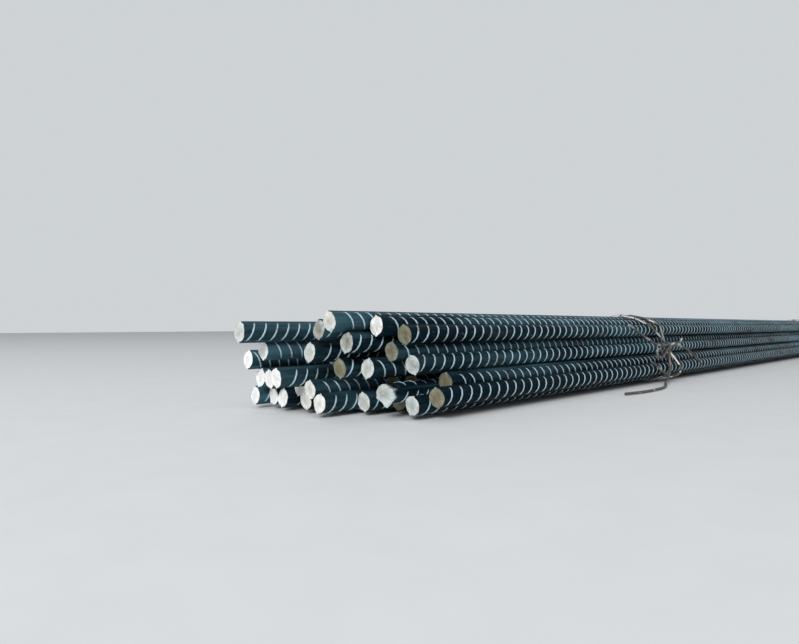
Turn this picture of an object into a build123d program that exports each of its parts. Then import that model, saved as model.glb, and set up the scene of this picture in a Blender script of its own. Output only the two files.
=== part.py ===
from build123d import *
import math
import os

# A tied bundle of ribbed steel reinforcing bars, lying on the floor.
# Millimetres. The bars run along X, their staggered near ends at -X.
# Y crosses the bundle, with the side where the ties are twisted at -Y. Z is up.

# One bar: a round body with two ribs that run along it on opposite sides.
bar_diameter = 16.0
bar_length = 3000.0
long_rib_height = 0.6
long_rib_base = 3.0
long_rib_crest = 1.4
shear_slant = 5.0
bar_clearance = 0.1

# One tie: soft wire, wound twice round the bars, its two ends twisted together in front of them.
# The first turn leaves the knot in a loose bow and drifts along the bars. The second is pulled
# tight: it crosses behind the knot, and comes back to it over the top.
# The wire is six-sided here, since so many bends and twists of a round one would be heavy.
wire_diameter = 3.4
wire_sides = 6
wire_clearance = 0.1
tie_count = 3
tie_inset = 560.0
first_turn_drift = 26.0
second_turn_shift = -8.0
loose_bow = 14.0

# The knot: its height over the axes of the lowest bars, how far it stands off the tight wire,
# and the tails that the two ends run out in, as steps from where the twist stops.
knot_height = 35.0
knot_stand_off = 5.6
knot_bend = 4.0
twist_clearance = 0.1
twist_pitch = 13.0
twist_turns = 3
steps_per_twist = 8
hooked_tail = [(5, -1, 1), (7, -2, 7)]
long_tail = [(9, -4, -2), (24, -12, -13), (38, -18, -27)]

# The pile, from the lowest bars up, in the order of laying, each bar as (place, setback, turn).
# The place is where it is let down across the bundle, counted in bars from the front one, until
# it meets the level of the lowest bars or a bar that lies there.
# The setback is how far its near end lies behind the foremost one, and its far end as far beyond.
# The turn is how far its two long ribs are rolled from upright, in degrees.
bars_by_layer = [
    [(0.93, 101, 20), (2.55, 113, 8), (3.55, 88, -6), (4.55, 55, 12),
     (6.14, 60, -8), (7.72, 54, 5), (8.72, 55, 40), (9.72, 46, -14)],
    [(0.01, 113, -10), (1.74, 83, 62), (3.05, 136, 0), (4.05, 129, 90),
     (5.34, 55, 8), (6.93, 63, 10), (7.84, 42, -8), (8.84, 43, 12)],
    [(0.81, 138, 14), (2.57, 78, 6), (3.57, 63, 0), (4.83, 127, 34),
     (6.13, 31, 8), (7.05, 119, 10), (8.06, 112, 80), (9.10, 33, 4)],
    [(1.20, 106, -18), (3.84, 134, 8), (5.82, 131, 78), (4.86, 49, 4), (6.75, 25, 4), (7.76, 108, 12)],
    [(1.97, 95, 12), (2.88, 61, 10), (5.29, 124, 84), (6.31, 0, 0)],
    [(1.38, 100, -8), (2.28, 83, -4), (3.26, 49, -10), (4.27, 51, -12)],
]

bar_radius = bar_diameter / 2
bar_reach = bar_radius + long_rib_height
bar_pitch = bar_diameter + long_rib_height + bar_clearance
wire_radius = wire_diameter / 2
wire_line = bar_reach + wire_clearance + wire_radius
longest_setback = max(setback for layer in bars_by_layer for place, setback, turn in layer)
twist_radius = wire_radius + twist_clearance / 2
os.makedirs("parts", exist_ok=True)


def stack(layers):
    """The bars' axes seen along the bundle, as (y, z), layer by layer."""
    laid = []
    for layer in layers:
        for place, setback, turn in layer:
            y = place * bar_pitch
            below = [bar for bar in laid if abs(bar[0] - y) < bar_pitch]
            rests = [z + math.sqrt(bar_pitch**2 - (under - y) ** 2) for under, z in below]
            laid.append((y, max(rests, default=0.0)))
    return laid


def make_bar(y, z, setback, turn, slant):
    """A length of bar, sheared off a little out of square at both ends."""
    near = setback - (bar_length + longest_setback) / 2
    upright = Vector(0, -math.sin(math.radians(turn)), math.cos(math.radians(turn)))
    section = Plane(origin=(near - bar_diameter, y, z), x_dir=upright, z_dir=(1, 0, 0))
    with BuildPart() as bar:
        with BuildSketch(section):
            Circle(bar_radius)
            for side in (1, -1):
                with BuildLine():
                    Polyline(
                        (0, -long_rib_base / 2),
                        (side * (bar_radius - long_rib_height), -long_rib_base / 2),
                        (side * bar_reach, -long_rib_crest / 2),
                        (side * bar_reach, long_rib_crest / 2),
                        (side * (bar_radius - long_rib_height), long_rib_base / 2),
                        (0, long_rib_base / 2),
                        close=True,
                    )
                make_face()
        extrude(amount=bar_length + 2 * bar_diameter)
        lean = math.tan(math.radians(slant))
        for end, keep in ((near, Keep.TOP), (near + bar_length, Keep.BOTTOM)):
            cut = Plane(origin=(end, y, z), z_dir=Vector(1, 0, 0) + upright * lean)
            split(bisect_by=cut, keep=keep)
    return bar.part


def loop_corners(bars, reach):
    """Corners of a loop pulled tight round the bars, at this reach from their axes."""
    def chain(points):
        kept = []
        for point in points:
            while len(kept) > 1 and turning(kept[-2], kept[-1], point) < 0.01:
                kept.pop()
            kept.append(point)
        return kept[:-1]

    ordered = sorted(bars)
    hull = chain(ordered) + chain(ordered[::-1])
    corners = []
    for before, corner, after in zip([hull[-1]] + hull, hull, hull[1:] + hull[:1]):
        away = outward(before, corner) + outward(corner, after)
        corners.append(Vector(*corner) + away * (2 * reach / away.length**2))
    return corners


def turning(a, b, c):
    return (b[0] - a[0]) * (c[1] - b[1]) - (b[1] - a[1]) * (c[0] - b[0])


def outward(a, b):
    """Unit vector out of the hull, across its side from a to b."""
    return Vector(b[1] - a[1], a[0] - b[0]).normalized()


def make_tie(x, bars):
    corners = loop_corners(bars, wire_line)
    foremost = min(range(len(corners)), key=lambda i: corners[i].X)
    corners = corners[foremost:] + corners[:foremost]
    low, high = corners[0], corners[-1]
    up = (high - low).normalized()
    knot = low + up * ((knot_height - low.Y) / up.Y) + Vector(-up.Y, up.X) * knot_stand_off

    first_turn = [
        Vector(x + first_turn_drift * step / len(corners), corner.X, corner.Y)
        for step, corner in enumerate(corners, start=1)
    ]
    first_turn[0] -= Vector(0, loose_bow, 0)
    second_turn = [Vector(x + second_turn_shift, corner.X, corner.Y) for corner in corners]
    leaving = Vector(x, knot.X, knot.Y - twist_radius)
    arriving = Vector(x, knot.X, knot.Y + twist_radius)
    leaving_bend = (leaving - first_turn[0]).normalized() * knot_bend
    arriving_bend = (arriving - second_turn[-1]).normalized() * knot_bend
    route = [leaving - leaving_bend] + first_turn + second_turn + [arriving - arriving_bend]

    with BuildPart() as tie:
        with BuildLine() as path:
            bent_wire(route, wire_line)
        with BuildSketch(Plane(origin=route[0], z_dir=leaving_bend)):
            RegularPolygon(wire_radius, wire_sides)
        sweep(path=path.wire())
        for start, bend, side, tail in (
            (leaving, leaving_bend, -1, long_tail),
            (arriving, arriving_bend, 1, hooked_tail),
        ):
            wire_end = tie.faces().sort_by_distance(start - bend)[0]
            with BuildLine() as strand:
                Polyline(start - bend, *knot_strand(start, bend, side, tail))
            sweep(sections=wire_end, path=strand.wire(), transition=Transition.RIGHT)
    return tie.part


def knot_strand(start, bend, side, tail):
    """The points of one end of the wire: it bends to X, winds round the other end, and runs out."""
    points = []
    for angle in (math.pi / 6, math.pi / 3):
        ahead = Vector(knot_bend * (1 - math.cos(angle)), 0, 0)
        points.append(start - bend * (1 - math.sin(angle)) + ahead)
    axis = start + Vector(knot_bend, 0, -side * twist_radius)
    for step in range(round(twist_turns * steps_per_twist) + 1):
        angle = 2 * math.pi * step / steps_per_twist + side * math.pi / 2
        across = Vector(0, -math.cos(angle), math.sin(angle)) * twist_radius
        points.append(axis + across + Vector(twist_pitch * step / steps_per_twist, 0, 0))
    return points + [points[-1] + Vector(*step) for step in tail]


def bent_wire(route, radius):
    """Straight runs along the route, joined by tangent bends of one radius."""
    start = route[0]
    for before, corner, after in zip(route, route[1:], route[2:]):
        back, on = (before - corner).normalized(), (after - corner).normalized()
        half = math.radians(back.get_angle(on)) / 2
        bend_start = corner + back * (radius / math.tan(half))
        bend_end = corner + on * (radius / math.tan(half))
        middle = corner + (back + on).normalized() * (radius / math.sin(half) - radius)
        Line(start, bend_start)
        ThreePointArc(bend_start, middle, bend_end)
        start = bend_end
    Line(start, route[-1])


all_bars = stack(bars_by_layer)
waiting = iter(all_bars)
pieces = []
for layer, bars in enumerate(bars_by_layer, start=1):
    with BuildPart() as bars_layer:
        for index, (place, setback, turn) in enumerate(bars):
            y, z = next(waiting)
            add(make_bar(y, z, setback, turn, shear_slant * (-1) ** index))
    bars_layer.part.label = f"bars_layer_{layer}"
    pieces.append(bars_layer.part)

tie_span = bar_length + longest_setback - 2 * tie_inset
for number in range(tie_count):
    tie_x = -tie_span / 2 + tie_span * number / (tie_count - 1)
    tie = make_tie(tie_x, all_bars)
    tie.label = f"tie_wire_{number + 1}"
    pieces.append(tie)

# The origin is on the floor, under the middle of the bundle.
boxes = [piece.bounding_box() for piece in pieces]
middle_x = (min(box.min.X for box in boxes) + max(box.max.X for box in boxes)) / 2
middle_y = (min(box.min.Y for box in boxes) + max(box.max.Y for box in boxes)) / 2
floor_z = min(box.min.Z for box in boxes)
for piece in pieces:
    piece.move(Location((-middle_x, -middle_y, -floor_z)))
    export_step(piece, f"parts/{piece.label}.step")
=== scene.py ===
import bmesh
import bpy
import math
import numpy as np
import random
from mathutils import Matrix, Vector, noise


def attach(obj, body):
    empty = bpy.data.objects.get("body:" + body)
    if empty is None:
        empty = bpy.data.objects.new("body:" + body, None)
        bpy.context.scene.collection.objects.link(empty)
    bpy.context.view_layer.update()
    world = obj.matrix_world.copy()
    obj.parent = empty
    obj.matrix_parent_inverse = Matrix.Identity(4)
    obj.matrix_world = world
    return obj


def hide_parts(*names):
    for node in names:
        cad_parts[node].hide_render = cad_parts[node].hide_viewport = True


# A tied bundle of ribbed reinforcing bars, in metres. The bars run along X, their staggered
# near ends at -X. Y crosses the bundle, with the twisted knots of the ties at -Y, and Z is up.

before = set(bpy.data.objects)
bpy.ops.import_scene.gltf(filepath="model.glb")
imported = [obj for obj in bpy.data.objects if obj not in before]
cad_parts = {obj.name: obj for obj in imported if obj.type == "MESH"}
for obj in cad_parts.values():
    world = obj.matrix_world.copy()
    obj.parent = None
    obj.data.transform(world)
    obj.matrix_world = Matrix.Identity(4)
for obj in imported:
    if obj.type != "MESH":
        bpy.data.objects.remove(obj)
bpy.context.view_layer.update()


# Reinforcing bars
# Each bar is low-carbon steel, rolled hot between grooved rolls that leave two ribs along it and
# slanted crescent ribs across it, under a skin of blue-black mill scale. It is sheared to length,
# so that its two end faces are torn and bright.

core_radius = 0.0077
long_rib_reach = 0.0086
long_rib_base = 0.0030
long_rib_crest = 0.0014
lanes_per_bar = 4
tolerance = 1e-5

# The cross ribs. Their pitch shrinks from the front of the bundle to the back. A bar that the
# others close in has none over the covered length in its middle.
cross_rib_reach = 0.00872
cross_rib_span = math.radians(76)
cross_rib_slant = 0.0046
cross_rib_base = 0.0029
cross_rib_crest = 0.0011
widest_rib_pitch = 0.0124
pitch_loss_across = 0.018
bare_end = 0.006
covered_length = 2.5

# How far the shear drags the steel at a cut, and the spur that it has left on the end of one bar.
# Below its start the spur slopes back, and it hangs down by a share of the radius, sharply.
torn_depth = 0.0008
spur_start = 0.001
spur_slope = 0.42
spur_reach = 0.5
spur_sharpness = 20
spur_length = 0.010

# Which way the cross ribs lean on the side that faces forward, from the front of each layer.
# A slash leads towards the far end as it climbs, and a backslash towards the near end.
leans_by_layer = [
    ["/", "\\", "/", "/", "\\", "/", "\\", "/"],
    ["/", "/", "\\", "/", "\\", "/", "/", "\\"],
    ["\\", "\\", "/", "/", "/", "\\", "/", "\\"],
    ["/", "\\", "/", "\\", "\\", "/"],
    ["\\", "/", "/", "/"],
    ["/", "\\", "\\", "/"],
]

# How far each bar's near face has dulled: 0 is fresh and near white, 1 olive, and more is brown.
# The olive and brown stages are partly dulled steel and partly painted shade on ends in shadow.
dullness_and_shade_by_layer = [
    [0.40, 0.95, 0.30, 0.15, 0.20, 0.0, 0.0, 0.05],
    [0.88, 0.45, 1.6, 1.6, 0.18, 0.0, 0.0, 0.0],
    [0.88, 0.33, 1.3, 0.5, 0.0, 0.4, 0.4, 0.0],
    [0.45, 0.4, 0.32, 0.5, 0.0, 0.4],
    [0.84, 0.68, 0.5, 0.30],
    [0.95, 0.10, 0.24, 0.70],
]


class Bar:
    """One bar as the frame has it: its axis, its two ends, and how it is rolled."""

    def __init__(self, points):
        middle = (points.min(0) + points.max(0)) / 2
        out = np.hypot(*(points - middle)[:, 1:].T)
        crests = points[out > out.max() - tolerance]
        near, far = crests[crests[:, 0] < 0], crests[crests[:, 0] > 0]
        self.y, self.z = near[:, 1:].mean(0)
        self.near, self.far = near[:, 0].mean(), far[:, 0].mean()
        spread = near[:, 1:] - (self.y, self.z)
        one_side = spread @ spread[0] > 0
        across = near[one_side].mean(0) - near[~one_side].mean(0)
        across *= 1 if across[2] > 0 else -1
        self.roll = math.atan2(-across[1], across[2])
        self.shear = across[0] / math.hypot(across[1], across[2])


def bars_in(node):
    """The bars of one layer of the frame, from the front to the back."""
    layer = bmesh.new()
    layer.from_mesh(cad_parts[node].data)
    bmesh.ops.remove_doubles(layer, verts=layer.verts, dist=tolerance)
    left = set(layer.verts)
    bars = []
    while left:
        joined = [left.pop()]
        for vert in joined:
            beside = {edge.other_vert(vert) for edge in vert.link_edges} & left
            joined.extend(beside)
            left -= beside
        bars.append(Bar(np.array([vert.co for vert in joined])))
    layer.free()
    return sorted(bars, key=lambda bar: bar.y)


layers = [bars_in(name) for name in sorted(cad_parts) if name.startswith("bars_layer")]
front, back, top = layers[1][0], layers[0][-1], layers[-1][-1]
chance = random.Random(16)
for bars, leans, dullness in zip(layers, leans_by_layer, dullness_and_shade_by_layer):
    for bar, lean, dull in zip(bars, leans, dullness):
        if lean == "/":
            bar.roll += math.pi
            bar.shear = -bar.shear
        bar.pitch = widest_rib_pitch - pitch_loss_across * (bar.y - front.y)
        bar.phase = chance.random()
        # Painted light: the skin is painted paler at the back and the top of the pile, where the light
        # falls, with a random share of real tone on top.
        depth = (bar.y - front.y) / (back.y - front.y)
        height = (bar.z - back.z) / (top.z - back.z)
        bar.tone = 0.5 * depth + 0.25 * height + 0.25 * chance.random()
        bar.dull_near = dull
        bar.dull_far = chance.uniform(0.0, 0.8)
        bar.has_spur = False
layers[1][1].has_spur = True


def closed_in(bar, others):
    """Whether a bar's neighbours leave no opening to see it through, but for a narrow one below."""
    neighbours_within = 3.2 * core_radius
    narrow, narrow_below = math.radians(92), math.radians(125)
    around = []
    for other in others:
        across, up = other.y - bar.y, other.z - bar.z
        if 0 < math.hypot(across, up) < neighbours_within:
            around.append(math.atan2(up, across))
    around.sort()
    pairs = zip(around, around[1:] + [around[0] + 2 * math.pi])
    widest, start = max((after - before, before) for before, after in pairs)
    faces_down = math.sin(start + widest / 2) < -0.8
    return widest < (narrow_below if faces_down else narrow)


every_bar = [bar for bars in layers for bar in bars]
for bar in every_bar:
    bar.covered = float(closed_in(bar, every_bar))


def bar_outline():
    """The section of a bar between its cross ribs, as angles from one long rib, and reaches."""
    base = long_rib_base / 2 / core_radius
    crest = long_rib_crest / 2 / long_rib_reach
    steps = 12
    side = [(-base, core_radius), (-crest, long_rib_reach), (crest, long_rib_reach)]
    side += [(base + (math.pi - 2 * base) * step / steps, core_radius) for step in range(steps)]
    return side + [(angle + math.pi, reach) for angle, reach in side]


def torn(point, seed):
    """How far the shear has dragged this point of an end face along the bar."""
    dents = Vector((point.x * 180, point.y * 180, seed * 7.3))
    fibres = Vector((point.x * 700, point.y * 420, seed * 3.1 + 50))
    return torn_depth * (noise.noise(dents) + 0.5 * noise.noise(fibres))


def rings_along(bar):
    """The rings of one bar as (place along it, share of its section, end), the near end being -1."""
    insets = [0.12, 0.3, 0.5, 0.7, 0.88, 0.97]
    near_face = [(bar.near, inset, -1) for inset in insets + [1.0]]
    far_face = [(bar.far, inset, 1) for inset in [1.0] + insets[::-1]]
    lanes = [bar.near + (bar.far - bar.near) * lane / lanes_per_bar for lane in range(1, lanes_per_bar)]
    return near_face + [(x, 1.0, 0) for x in [bar.near + spur_length] + lanes] + far_face


def ring_point(bar, seed, ring, angle, reach):
    """A point of a ring, with its wear: how far out on a rib crest a point of the skin is, where the
    skin is lightened as rubbed steel and as a painted highlight, or how near the rim a cut face is.
    """
    x, inset, end = ring
    across = Vector((math.sin(angle), math.cos(angle))) * reach * inset
    turned = Matrix.Rotation(bar.roll, 2) @ across
    x += across.y * bar.shear
    wear = inset
    if end != 0:
        x += torn(across, seed + end)
    if end < 0 and bar.has_spur:
        x += spur_slope * max(0.0, spur_start - turned.x - turned.y)
        turned *= 1 + spur_reach * max(0.0, -turned.y / core_radius) ** spur_sharpness
    if inset == 1.0 and end < 0 and bar.has_spur:
        wear = 0.9
    elif inset == 1.0:
        wear = 0.5 if reach > core_radius else 0.0
    return (x, bar.y + turned.x, bar.z + turned.y), wear


def add_bar(bar, seed, verts, faces, cut_faces, attributes):
    """One closed bar without its cross ribs: rings of its outline, and a torn face at each end."""
    outline = bar_outline()
    count = len(outline)
    first = len(verts)
    rings = rings_along(bar)
    for ring in rings:
        for angle, reach in outline:
            point, wear = ring_point(bar, seed, ring, angle, reach)
            verts.append(point)
            attributes.append((wear, bar.tone, bar.dull_near if ring[2] < 0 else bar.dull_far))
    starts = [first + count * number for number in range(len(rings))]
    for start, after, ring, next_ring in zip(starts, starts[1:], rings, rings[1:]):
        for i in range(count):
            j = (i + 1) % count
            faces.append((start + i, after + i, after + j, start + j))
            cut_faces.append(ring[2] != 0 and ring[2] == next_ring[2])
    for start, end in ((starts[0], -1), (starts[-1], 1)):
        around = [start + i for i in range(count)]
        middle = sum((Vector(verts[i]) for i in around), Vector()) / count
        verts.append(tuple(middle))
        attributes.append((0.0, bar.tone, bar.dull_near if end < 0 else bar.dull_far))
        for i in range(count):
            pair = (start + i, start + (i + 1) % count)
            faces.append((len(verts) - 1, *(pair if end < 0 else pair[::-1])))
            cut_faces.append(True)


def add_attributes(mesh, names, rows):
    """Gives each point of the mesh its row of these named numbers."""
    for name, values in zip(names, zip(*rows)):
        mesh.attributes.new(name, "FLOAT", "POINT").data.foreach_set("value", values)


def bodies_mesh(name, bars, seed):
    """The bars of one piece without their cross ribs, with the edges of the cut faces kept sharp."""
    verts, faces, cut_faces, attributes = [], [], [], []
    for index, bar in enumerate(bars):
        add_bar(bar, seed + 10 * index, verts, faces, cut_faces, attributes)
    mesh = bpy.data.meshes.new(name)
    mesh.from_pydata(verts, [], faces)
    add_attributes(mesh, ["wear", "tone", "dull"], attributes)
    mesh.materials.append(mill_scale)
    mesh.materials.append(sheared_steel)
    mesh.polygons.foreach_set("material_index", cut_faces)
    mesh.shade_smooth()
    rim = {}
    for face, cut in zip(mesh.polygons, cut_faces):
        for key in face.edge_keys:
            rim.setdefault(key, set()).add(cut)
    sharp = [len(rim[tuple(sorted(edge.vertices))]) == 2 for edge in mesh.edges]
    mesh.attributes.new("sharp_edge", "BOOLEAN", "EDGE").data.foreach_set("value", sharp)
    return mesh


def rib_pair_mesh():
    """The two crescent ribs at one station of a bar that runs along Z, with its long ribs at X."""
    verts, faces, wear = [], [], []
    spans = 6
    root = core_radius - 0.0003
    tip = core_radius - 0.0001
    slimmest = 0.35
    for side in (1, -1):
        rings = []
        for span in range(spans + 1):
            part = 2 * span / spans - 1
            angle = math.pi / 2 + part * cross_rib_span
            swell = max(0.0, 1 - part**2) ** 0.5
            slim = slimmest + (1 - slimmest) * swell
            reach = tip + (cross_rib_reach - tip) * swell
            along = part * cross_rib_slant
            corners = [(root, -cross_rib_base), (root, cross_rib_base),
                       (reach, cross_rib_crest), (reach, -cross_rib_crest)]
            ring = []
            for out, width in corners:
                ring.append(len(verts))
                across = out * math.cos(angle), side * out * math.sin(angle)
                verts.append((*across, along + width * slim / 2))
                # The crest gets full wear, which the skin lightens as rubbed steel and as a painted
                # highlight.
                wear.append(1.0 if out == reach else 0.0)
            rings.append(ring)
        for ring, after in zip(rings, rings[1:]):
            for i in range(4):
                j = (i + 1) % 4
                faces.append((ring[i], ring[j], after[j], after[i])[::side])
        faces.append(tuple(rings[0][::-side]))
        faces.append(tuple(rings[-1][::side]))
    mesh = bpy.data.meshes.new("rib_pair")
    mesh.from_pydata(verts, [], faces)
    mesh.attributes.new("wear", "FLOAT", "POINT").data.foreach_set("value", wear)
    mesh.shade_smooth()
    return mesh


class Tree:
    """A tree of geometry nodes that is built one node at a time."""

    def __init__(self, name, inputs):
        self.group = bpy.data.node_groups.new(name, "GeometryNodeTree")
        for label, kind in inputs:
            self.group.interface.new_socket(label, in_out="INPUT", socket_type=kind)
        self.group.interface.new_socket("Geometry", in_out="OUTPUT", socket_type="NodeSocketGeometry")
        self.inputs = self.group.nodes.new("NodeGroupInput").outputs

    def add(self, kind, settings=None, **values):
        """Adds a node, with its settings first, and gives its outputs."""
        node = self.group.nodes.new(kind)
        for name, setting in (settings or {}).items():
            setattr(node, name, setting)
        for name, value in values.items():
            socket = next(s for s in node.inputs if name in (s.identifier, s.name))
            for single in value if isinstance(value, list) else [value]:
                if isinstance(single, bpy.types.NodeSocket):
                    self.group.links.new(single, socket)
                else:
                    socket.default_value = single
        return node.outputs

    def number(self, name):
        """A number that each axis carries as an attribute."""
        return self.add("GeometryNodeInputNamedAttribute", {"data_type": "FLOAT"}, Name=name)[0]

    def math(self, operation, *terms):
        names = ("Value", "Value_001", "Value_002")
        return self.add("ShaderNodeMath", {"operation": operation}, **dict(zip(names, terms)))[0]

    def finish(self, geometry):
        """Makes this the tree's result."""
        self.group.links.new(geometry, self.group.nodes.new("NodeGroupOutput").inputs[0])

    def run(self, holder, **values):
        """Runs the tree on an object, and gives what it makes as a plain mesh."""
        modifier = holder.modifiers.new(self.group.name, "NODES")
        modifier.node_group = self.group
        for item in self.group.interface.items_tree:
            if item.in_out == "INPUT" and item.name in values:
                modifier[item.identifier] = values[item.name]
        bpy.context.scene.collection.objects.link(holder)
        graph = bpy.context.evaluated_depsgraph_get()
        mesh = bpy.data.meshes.new_from_object(
            holder.evaluated_get(graph), preserve_all_data_layers=True, depsgraph=graph
        )
        bpy.data.objects.remove(holder)
        return mesh


def rib_tree():
    """Sets a pair of ribs at every station along the bars' axes, and joins them to the bodies."""
    tree = Tree("ribs_along_bars", [
        ("Geometry", "NodeSocketGeometry"), ("Axes", "NodeSocketObject"), ("Ribs", "NodeSocketObject"),
        ("Bare", "NodeSocketFloat"), ("Covered", "NodeSocketFloat"), ("Skin", "NodeSocketMaterial"),
    ])
    get = tree.inputs
    axes = tree.add("GeometryNodeObjectInfo", Object=get["Axes"])["Geometry"]
    curves = tree.add("GeometryNodeMeshToCurve", Mesh=axes)[0]
    curves = tree.add("GeometryNodeSetCurveTilt", Curve=curves, Tilt=tree.number("roll"))[0]
    pitch = tree.number("pitch")
    first = tree.math("MULTIPLY_ADD", tree.number("phase"), pitch, get["Bare"])
    last = tree.math("SUBTRACT", tree.add("GeometryNodeSplineLength")["Length"], get["Bare"])
    curves = tree.add("GeometryNodeTrimCurve", {"mode": "LENGTH"},
                      Curve=curves, Start_001=first, End_001=last)[0]
    stations = tree.add("GeometryNodeCurveToPoints", {"mode": "LENGTH"}, Curve=curves, Length=pitch)
    place = tree.add("ShaderNodeSeparateXYZ", Vector=tree.add("GeometryNodeInputPosition")[0])["X"]
    past_cover = tree.add("FunctionNodeCompare", {"operation": "GREATER_THAN"},
                          A=tree.math("ABSOLUTE", place), B=get["Covered"])[0]
    in_view = tree.math("SUBTRACT", 1.0, tree.number("covered"))
    shown = tree.add("FunctionNodeBooleanMath", {"operation": "OR"},
                     Boolean=past_cover, Boolean_001=in_view)[0]
    pair = tree.add("GeometryNodeObjectInfo", Object=get["Ribs"])["Geometry"]
    ribs = tree.add("GeometryNodeInstanceOnPoints", Points=stations["Points"], Selection=shown,
                    Instance=pair, Rotation=stations["Rotation"])[0]
    ribs = tree.add("GeometryNodeRealizeInstances", Geometry=ribs)[0]
    ribs = tree.add("GeometryNodeSetMaterial", Geometry=ribs, Material=get["Skin"])[0]
    tree.finish(tree.add("GeometryNodeJoinGeometry", Geometry=[ribs, get["Geometry"]])[0])
    return tree


class Value:
    """A socket of a material's nodes. The sums and products that are made of it are Math nodes."""

    def __init__(self, finish, socket):
        self.finish = finish
        self.socket = socket

    def math(self, operation, *terms):
        names = ("Value", "Value_001", "Value_002")
        return self.finish.add("ShaderNodeMath", {"operation": operation}, **dict(zip(names, terms)))

    def __add__(self, other):
        return self.math("ADD", self, other)

    def __radd__(self, other):
        return self.math("ADD", other, self)

    def __sub__(self, other):
        return self.math("SUBTRACT", self, other)

    def __rsub__(self, other):
        return self.math("SUBTRACT", other, self)

    def __mul__(self, other):
        return self.math("MULTIPLY", self, other)

    def __rmul__(self, other):
        return self.math("MULTIPLY", other, self)


class Finish:
    """A material, or the world, under construction."""

    def __init__(self, owner, shader="Principled BSDF"):
        self.owner = owner
        self.owner.use_nodes = True
        self.tree = self.owner.node_tree
        self.shader = self.tree.nodes[shader]

    def add(self, kind, settings=None, output=0, **values):
        """Adds a node, with its settings first, and gives the named or numbered output of it."""
        node = self.tree.nodes.new(kind)
        for name, setting in (settings or {}).items():
            setattr(node, name, setting)
        self.fill(node, values)
        shown = [s for s in node.outputs if s.enabled]
        return Value(self, next(s for s in shown if output in (0, s.name)))

    def fill(self, node, values):
        for name, value in values.items():
            label = name.replace("_", " ")
            socket = next(s for s in node.inputs if name == s.identifier or label == s.name)
            if isinstance(value, Value):
                self.tree.links.new(value.socket, socket)
            else:
                socket.default_value = value

    def place(self, stretch=(1, 1, 1)):
        """The place on the piece in metres, squeezed or stretched along each axis."""
        coordinates = self.add("ShaderNodeTexCoord", output="Object")
        return self.add("ShaderNodeMapping", Vector=coordinates, Scale=stretch)

    def grain(self, scale, detail, place, roughness=0.5):
        return self.add("ShaderNodeTexNoise", Vector=place, Scale=scale, Detail=detail,
                        Roughness=roughness)

    def above(self, value, start, end):
        """Rises smoothly from 0 to 1 as the value goes from start to end."""
        settings = {"interpolation_type": "SMOOTHSTEP"}
        return self.add("ShaderNodeMapRange", settings, Value=value, From_Min=start, From_Max=end)

    def mix(self, share, low, high):
        """A colour between two others."""
        settings = {"data_type": "RGBA"}
        return self.add("ShaderNodeMix", settings, output="Result", Factor_Float=share,
                        A_Color=low, B_Color=high)

    def mark(self, name):
        """An attribute of the piece."""
        return self.add("ShaderNodeAttribute", {"attribute_name": name}, output="Fac")

    def bump(self, height, strength, distance):
        return self.add("ShaderNodeBump", Height=height, Strength=strength, Distance=distance)

    def set(self, **values):
        self.fill(self.shader, values)
        return self.owner


def mill_scale_finish():
    """Blue-black oxide from the hot rolls, lighter along the crests of the ribs, partly as rubbed steel
    and partly as a painted highlight, and painted paler at the back and top of the pile as painted
    light.
    """
    finish = Finish(bpy.data.materials.new("mill_scale"))
    drawn = finish.place((0.25, 1, 1))
    clouds = finish.grain(26, 4, drawn, 0.6)
    flakes = finish.grain(420, 3, finish.place((0.5, 1, 1)))
    # The per-bar value read here lifts the skin towards pale blue: partly the scale's own random tone,
    # partly painted light, paler at the back and top of the pile.
    tone = finish.mark("tone")
    streaks = finish.grain(300, 2, finish.place((0.03, 1, 1)))
    depth = finish.above(clouds * 0.8 + streaks * 0.2 + tone * 0.6, 0.63, 1.01)
    skin = finish.mix(depth, (0.0015, 0.009, 0.015, 1), (0.056, 0.130, 0.165, 1))
    freckles = finish.above(flakes, 0.60, 0.74)
    skin = finish.mix(freckles * 0.5, skin, (0.060, 0.100, 0.120, 1))
    rust = finish.above(finish.grain(55, 5, drawn, 0.7), 0.62, 0.76)
    skin = finish.mix(rust * 0.4, skin, (0.060, 0.040, 0.028, 1))
    # Crests are lightened to a pale blue-grey: partly rubbed steel, partly a painted highlight.
    rubbing = finish.grain(240, 3, finish.place())
    rubbed_and_highlit = finish.above(finish.mark("wear") + rubbing * 0.5, 0.80, 1.20)
    stained = finish.above(finish.grain(90, 2, drawn), 0.56, 0.70)
    crest_wear_and_highlight = finish.mix(stained, (0.42, 0.56, 0.62, 1), (0.32, 0.29, 0.26, 1))
    skin = finish.mix(rubbed_and_highlit, skin, crest_wear_and_highlight)
    rough = 0.54 + flakes * 0.16 - rubbed_and_highlit * 0.12
    relief = finish.bump(flakes + clouds * 2, 0.35, 0.0002)
    return finish.set(
        Base_Color=skin, Roughness=rough, Metallic=0.3, Specular_IOR_Level=0.05, Normal=relief
    )


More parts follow.
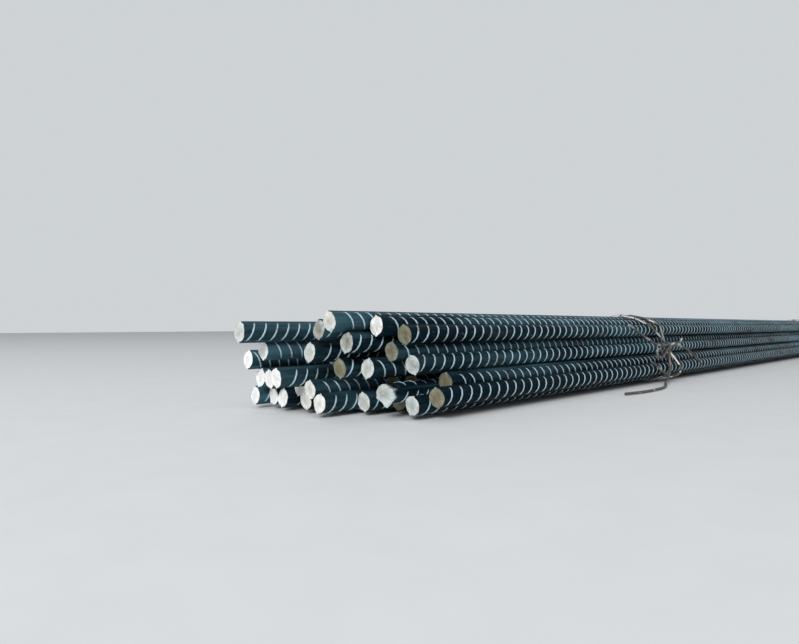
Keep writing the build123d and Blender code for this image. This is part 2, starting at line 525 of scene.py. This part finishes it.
def sheared_steel_finish():
    """A freshly torn steel face, near white and granular, that dulls to silver and then to olive. The
    olive and darker stages also serve as painted shade on ends that sit in shadow.
    """
    finish = Finish(bpy.data.materials.new("sheared_steel"))
    here = finish.place()
    grit = finish.grain(900, 4, here, 0.6)
    patches = finish.grain(220, 3, here, 0.55)
    dull = finish.mark("dull")
    white = finish.mix(grit, (0.84, 0.85, 0.83, 1), (0.97, 0.97, 0.96, 1))
    cream = finish.mix(grit, (0.70, 0.66, 0.54, 1), (0.95, 0.92, 0.84, 1))
    clean = finish.mix(finish.above(patches * 0.5 + dull * 2, 0.4, 0.8), white, cream)
    silver = finish.mix(grit, (0.42, 0.48, 0.49, 1), (0.63, 0.70, 0.71, 1))
    # Olive: partly dulled steel, partly painted shade for ends in shadow.
    olive_dulled_and_shaded = finish.mix(grit, (0.07, 0.08, 0.05, 1), (0.30, 0.31, 0.22, 1))
    face = finish.mix(finish.above(patches * 0.5 + dull, 0.25, 0.75), clean, silver)
    face = finish.mix(finish.above(patches * 0.5 + dull, 0.75, 1.15), face, olive_dulled_and_shaded)
    stains = finish.above(finish.grain(130, 3, here, 0.6), 0.50, 0.72)
    face = finish.mix(stains * (0.15 + dull * 0.8), face, (0.30, 0.27, 0.20, 1))
    spots = finish.above(finish.grain(330, 4, here, 0.7), 0.60, 0.72)
    face = finish.mix(spots * (0.35 + 0.5 * dull), face, (0.16, 0.09, 0.045, 1))
    reach = finish.mark("wear")
    core = 1 - finish.above(reach + patches * 0.6, 0.55, 1.05)
    face = finish.mix(core * (0.1 + dull * 0.6), face, (0.17, 0.13, 0.065, 1))
    burr = finish.above(reach + patches * 0.5, 1.15, 1.35)
    face = finish.mix(burr * 0.6, face, (0.10, 0.11, 0.11, 1))
    relief = finish.bump(grit + patches * 3, 0.8, 0.0007)
    return finish.set(Base_Color=face, Roughness=0.55 + grit * 0.2, Metallic=0.15, Normal=relief)


mill_scale = mill_scale_finish()
sheared_steel = sheared_steel_finish()


def axes_mesh(bars):
    """One edge for each bar, with what the rib tree needs to know of it."""
    mesh = bpy.data.meshes.new("axes")
    verts = [(x, bar.y, bar.z) for bar in bars for x in (bar.near, bar.far)]
    mesh.from_pydata(verts, [(2 * i, 2 * i + 1) for i in range(len(bars))], [])
    rows = [(bar.roll - math.pi / 2, bar.pitch, bar.phase, bar.covered, bar.tone)
            for bar in bars for end in range(2)]
    add_attributes(mesh, ["roll", "pitch", "phase", "covered", "tone"], rows)
    return mesh


def lay_out(mesh, bars):
    """Unrolls each bar into lanes of the map OFBake, and sets its end faces in a strip beside them."""
    lane_pad = 0.03
    face_strip = 0.13
    end_room = 0.010
    face_room = 2.2 * long_rib_reach
    lane_height = (1 - face_strip) / (lanes_per_bar * len(bars))
    co = np.empty(len(mesh.vertices) * 3)
    mesh.vertices.foreach_get("co", co)
    co = co.reshape(-1, 3)
    corner = np.empty(len(mesh.loops), int)
    mesh.loops.foreach_get("vertex_index", corner)
    start = np.empty(len(mesh.polygons), int)
    mesh.polygons.foreach_get("loop_start", start)
    total = np.diff(np.append(start, len(corner)))
    cut = np.empty(len(mesh.polygons), int)
    mesh.polygons.foreach_get("material_index", cut)
    owner = np.repeat(np.arange(len(start)), total)
    middle = np.add.reduceat(co[corner], start) / total[:, None]
    axes = np.array([(bar.y, bar.z) for bar in bars])
    which = np.hypot(middle[:, 1, None] - axes[:, 0], middle[:, 2, None] - axes[:, 1]).argmin(1)
    near = np.array([bar.near for bar in bars])[which]
    far = np.array([bar.far for bar in bars])[which]
    roll = np.array([bar.roll for bar in bars])[which]

    def around(points, faces):
        off = points[:, 1:] - axes[which[faces]]
        return (np.arctan2(off[:, 0], off[:, 1]) + roll[faces]) % (2 * np.pi)

    every = np.arange(len(start))
    angle = around(middle, every)
    turn = around(co[corner], owner) - angle[owner]
    turn = angle[owner] + (turn + np.pi) % (2 * np.pi) - np.pi
    lane_length = (far - near) / lanes_per_bar
    lane = np.clip(((middle[:, 0] - near) / lane_length).astype(int), 0, lanes_per_bar - 1)
    along = (co[corner, 0] - (near + lane * lane_length)[owner]) / lane_length[owner]
    pad_along = end_room / lane_length[owner]
    u = (along + pad_along) / (1 + 2 * pad_along)
    lanes_below = (which * lanes_per_bar + lane)[owner]
    v = (lanes_below + lane_pad + turn / (2 * np.pi) * (1 - 2 * lane_pad)) * lane_height
    is_cut = cut[owner] == 1
    far_end = (middle[:, 0] > 0)[owner]
    off = (co[corner, 1:] - axes[which[owner]]) / face_room + 0.5
    u = np.where(is_cut, (which[owner] * 2 + far_end + off[:, 0]) * face_strip, u)
    v = np.where(is_cut, 1 - face_strip + off[:, 1] * face_strip, v)
    uv = mesh.uv_layers.new(name="OFBake")
    uv.data.foreach_set("uv", np.stack([u, v], 1).ravel())


# Each layer is two or three pieces of up to three bars each, so that no piece has too many faces.
bars_per_piece = 3
ribs_along_bars = rib_tree()
rib_pair = bpy.data.objects.new("rib_pair", rib_pair_mesh())
for number, bars in enumerate(layers, start=1):
    groups = np.array_split(np.array(bars, dtype=object), math.ceil(len(bars) / bars_per_piece))
    parts = ["front", "back"] if len(groups) == 2 else ["front", "middle", "back"]
    for group, part in zip(groups, parts):
        name = f"bars_layer_{number}_{part}"
        holder = bpy.data.objects.new(name, bodies_mesh(name, group, 100 * number))
        axes = bpy.data.objects.new("axes", axes_mesh(group))
        mesh = ribs_along_bars.run(holder, Axes=axes, Ribs=rib_pair, Bare=bare_end,
                                   Covered=covered_length / 2, Skin=mill_scale)
        lay_out(mesh, group)
        piece = bpy.data.objects.new(name, mesh)
        bpy.context.scene.collection.objects.link(piece)
        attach(piece, "root")
        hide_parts(f"bars_layer_{number}")


# Tie wires
# Each tie is one soft annealed wire, wound twice round the bars and twisted tight with pliers. The
# near one was made with spare wire, which sticks out of the knot in loose strands, cut off bright.

# A six-sided wire keeps this share of its radius when subdivision rounds it.
rounding_loss = 0.87
wire_radius = 0.00155
first_tie_inset = 0.560
knot_height = 0.037

# The spare strands, as places in millimetres from the knot: along the bars, back and up.
spare_strands = [
    [(3, -5, 1), (-16, -7, 0), (-38, -6, 2), (-60, 0, 12), (-86, 8, 27)],
    [(-6, -8, -41), (-20, -13, -39), (-36, -14, -33), (-52, -13, -25), (-66, -11.5, -19)],
    [(3, -7, -2), (-6, -10, -14), (-12, -13, -28), (-22, -15, -39), (-44, -20, -45), (-75, -31, -47),
     (-115, -36, -47), (-150, -35, -47), (-180, -30, -47)],
    [(5, -7, 0), (-9, -8, -6), (-26, -9, -14), (-40, -10, -14), (-44, -9, -7), (-36, -9, -4),
     (-30, -10, -9)],
]


def tie_wire_finish():
    """Grey oxide from the annealing, with scattered bright patches that are partly rubbed wire and
    partly painted glints.
    """
    finish = Finish(bpy.data.materials.new("annealed_wire"))
    smut = finish.grain(160, 4, finish.place(), 0.6)
    # Bright patches all along the wire: partly rubbed steel, partly painted glints.
    rubbed_and_glint = finish.above(finish.grain(70, 3, finish.place()), 0.52, 0.66)
    colour = finish.mix(smut, (0.035, 0.033, 0.030, 1), (0.15, 0.14, 0.125, 1))
    colour = finish.mix(rubbed_and_glint * 0.7, colour, (0.62, 0.61, 0.60, 1))
    rough = 0.50 + smut * 0.15 - rubbed_and_glint * 0.22
    return finish.set(Base_Color=colour, Roughness=rough, Metallic=0.4 + rubbed_and_glint * 0.5)


def strand_mesh(places, knot):
    """A six-sided tube that bends smoothly through these places."""
    curve = bpy.data.curves.new("strand", "CURVE")
    curve.dimensions = "3D"
    curve.bevel_depth = wire_radius / rounding_loss
    curve.bevel_resolution = 1
    curve.resolution_u = 8
    curve.use_fill_caps = True
    spline = curve.splines.new("BEZIER")
    spline.bezier_points.add(len(places) - 1)
    for point, place in zip(spline.bezier_points, places):
        point.co = knot + Vector(place) / 1000
        point.handle_left_type = point.handle_right_type = "AUTO"
    holder = bpy.data.objects.new("strand", curve)
    bpy.context.scene.collection.objects.link(holder)
    graph = bpy.context.evaluated_depsgraph_get()
    mesh = bpy.data.meshes.new_from_object(holder.evaluated_get(graph), depsgraph=graph)
    bpy.data.objects.remove(holder)
    return mesh


def wire_mesh(name, strands):
    """The frame's six-sided wire and its spare strands, ready to be rounded by subdivision."""
    frame_radius = 0.0017
    cap_crease = 0.7
    wire = bmesh.new()
    wire.from_mesh(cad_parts[name].data)
    bmesh.ops.remove_doubles(wire, verts=wire.verts, dist=2e-6)
    bmesh.ops.dissolve_limit(wire, angle_limit=0.01, verts=wire.verts, edges=wire.edges)
    bmesh.ops.join_triangles(wire, faces=wire.faces, angle_face_threshold=1.0, angle_shape_threshold=3.0)
    wire.normal_update()
    for vert in wire.verts:
        vert.co += vert.normal * (wire_radius / rounding_loss - frame_radius)
    for strand in strands:
        wire.from_mesh(strand)
    crease = wire.edges.layers.float.new("crease_edge")
    for face in wire.faces:
        face.smooth = True
        # The only faces of more than four sides are the bright cut ends.
        face.material_index = len(face.verts) > 4
        for edge in face.edges:
            edge[crease] = max(edge[crease], cap_crease * face.material_index)
    mesh = bpy.data.meshes.new(name)
    wire.to_mesh(mesh)
    wire.free()
    return mesh


annealed_wire = tie_wire_finish()
foremost = min(bar.near for bar in every_bar)
knot = Vector((foremost + first_tie_inset, front.y, min(bar.z for bar in every_bar) + knot_height))
spare_meshes = [strand_mesh(places, knot) for places in spare_strands]
for number, place in enumerate(("near", "middle", "far"), start=1):
    node = f"tie_wire_{number}"
    strands = spare_meshes if place == "near" else []
    piece = bpy.data.objects.new(f"tie_{place}", wire_mesh(node, strands))
    piece.data.materials.append(annealed_wire)
    piece.data.materials.append(sheared_steel)
    rounded = piece.modifiers.new("rounded", "SUBSURF")
    rounded.levels = rounded.render_levels = 1
    bpy.context.scene.collection.objects.link(piece)
    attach(piece, "root")
    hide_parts(node)


# Floor, light and camera
# A pale, level floor under a pale backdrop. One large soft lamp stands ahead of the near ends, on
# the side of the knots, and the light from all round fills the shadows.


def studio_floor():
    reach = 6.0
    corners = [(-reach, -reach, 0), (reach, -reach, 0), (reach, reach, 0), (-reach, reach, 0)]
    mesh = bpy.data.meshes.new("floor")
    mesh.from_pydata(corners, [], [(0, 1, 2, 3)])
    finish = Finish(bpy.data.materials.new("studio_floor"))
    speckle = finish.grain(30, 3, finish.place())
    colour = finish.mix(speckle, (0.74, 0.75, 0.76, 1), (0.80, 0.81, 0.82, 1))
    mesh.materials.append(finish.set(Base_Color=colour, Roughness=0.8))
    floor = bpy.data.objects.new("floor", mesh)
    bpy.context.scene.collection.objects.link(floor)


def studio_world():
    """Soft light from all round, dimmer than the pale backdrop that is seen and mirrored."""
    light, backdrop = 0.44, 0.72
    world = Finish(bpy.data.worlds.new("studio"), "Background")
    rays = ("Is Camera Ray", "Is Glossy Ray", "Is Transmission Ray")
    seen, mirrored, through = (world.add("ShaderNodeLightPath", output=ray) for ray in rays)
    shown = world.above(seen + mirrored + through, 0, 1)
    strength = light + (backdrop - light) * shown
    bpy.context.scene.world = world.set(Color=(0.86, 0.90, 0.93, 1), Strength=strength)


def soft_lamp(name, place, aim, size, power):
    lamp = bpy.data.lights.new(name, "AREA")
    lamp.shape = "RECTANGLE"
    lamp.size, lamp.size_y = size
    lamp.energy = power
    holder = bpy.data.objects.new(name, lamp)
    holder.location = place
    holder.rotation_euler = (Vector(aim) - Vector(place)).to_track_quat("-Z", "Y").to_euler()
    bpy.context.scene.collection.objects.link(holder)


studio_floor()
studio_world()
soft_lamp("key", place=(-5.0, -1.9, 2.3), aim=(-1.2, 0, 0.05), size=(2.0, 1.5), power=195)
bpy.context.scene.view_settings.view_transform = "Standard"

# The camera stands level, a hand's breadth above the floor, a little ahead of the near ends.
camera_ahead = 0.2153
camera_aside = 0.300
camera_height = 0.076
camera_yaw = math.radians(43.8)
sensor_width = 36
image_width_pixels = 799
focal_length_pixels = 565
horizon_drop_pixels = 3

lens = bpy.data.cameras.new("camera")
lens.sensor_width = sensor_width
lens.lens = sensor_width * focal_length_pixels / image_width_pixels
lens.shift_y = horizon_drop_pixels / image_width_pixels
lens.clip_start = 0.01
camera = bpy.data.objects.new("camera", lens)
camera.location = (foremost - camera_ahead, front.y - camera_aside, camera_height)
camera.rotation_euler = (math.pi / 2, 0, -camera_yaw)
bpy.context.scene.collection.objects.link(camera)
bpy.context.scene.camera = camera
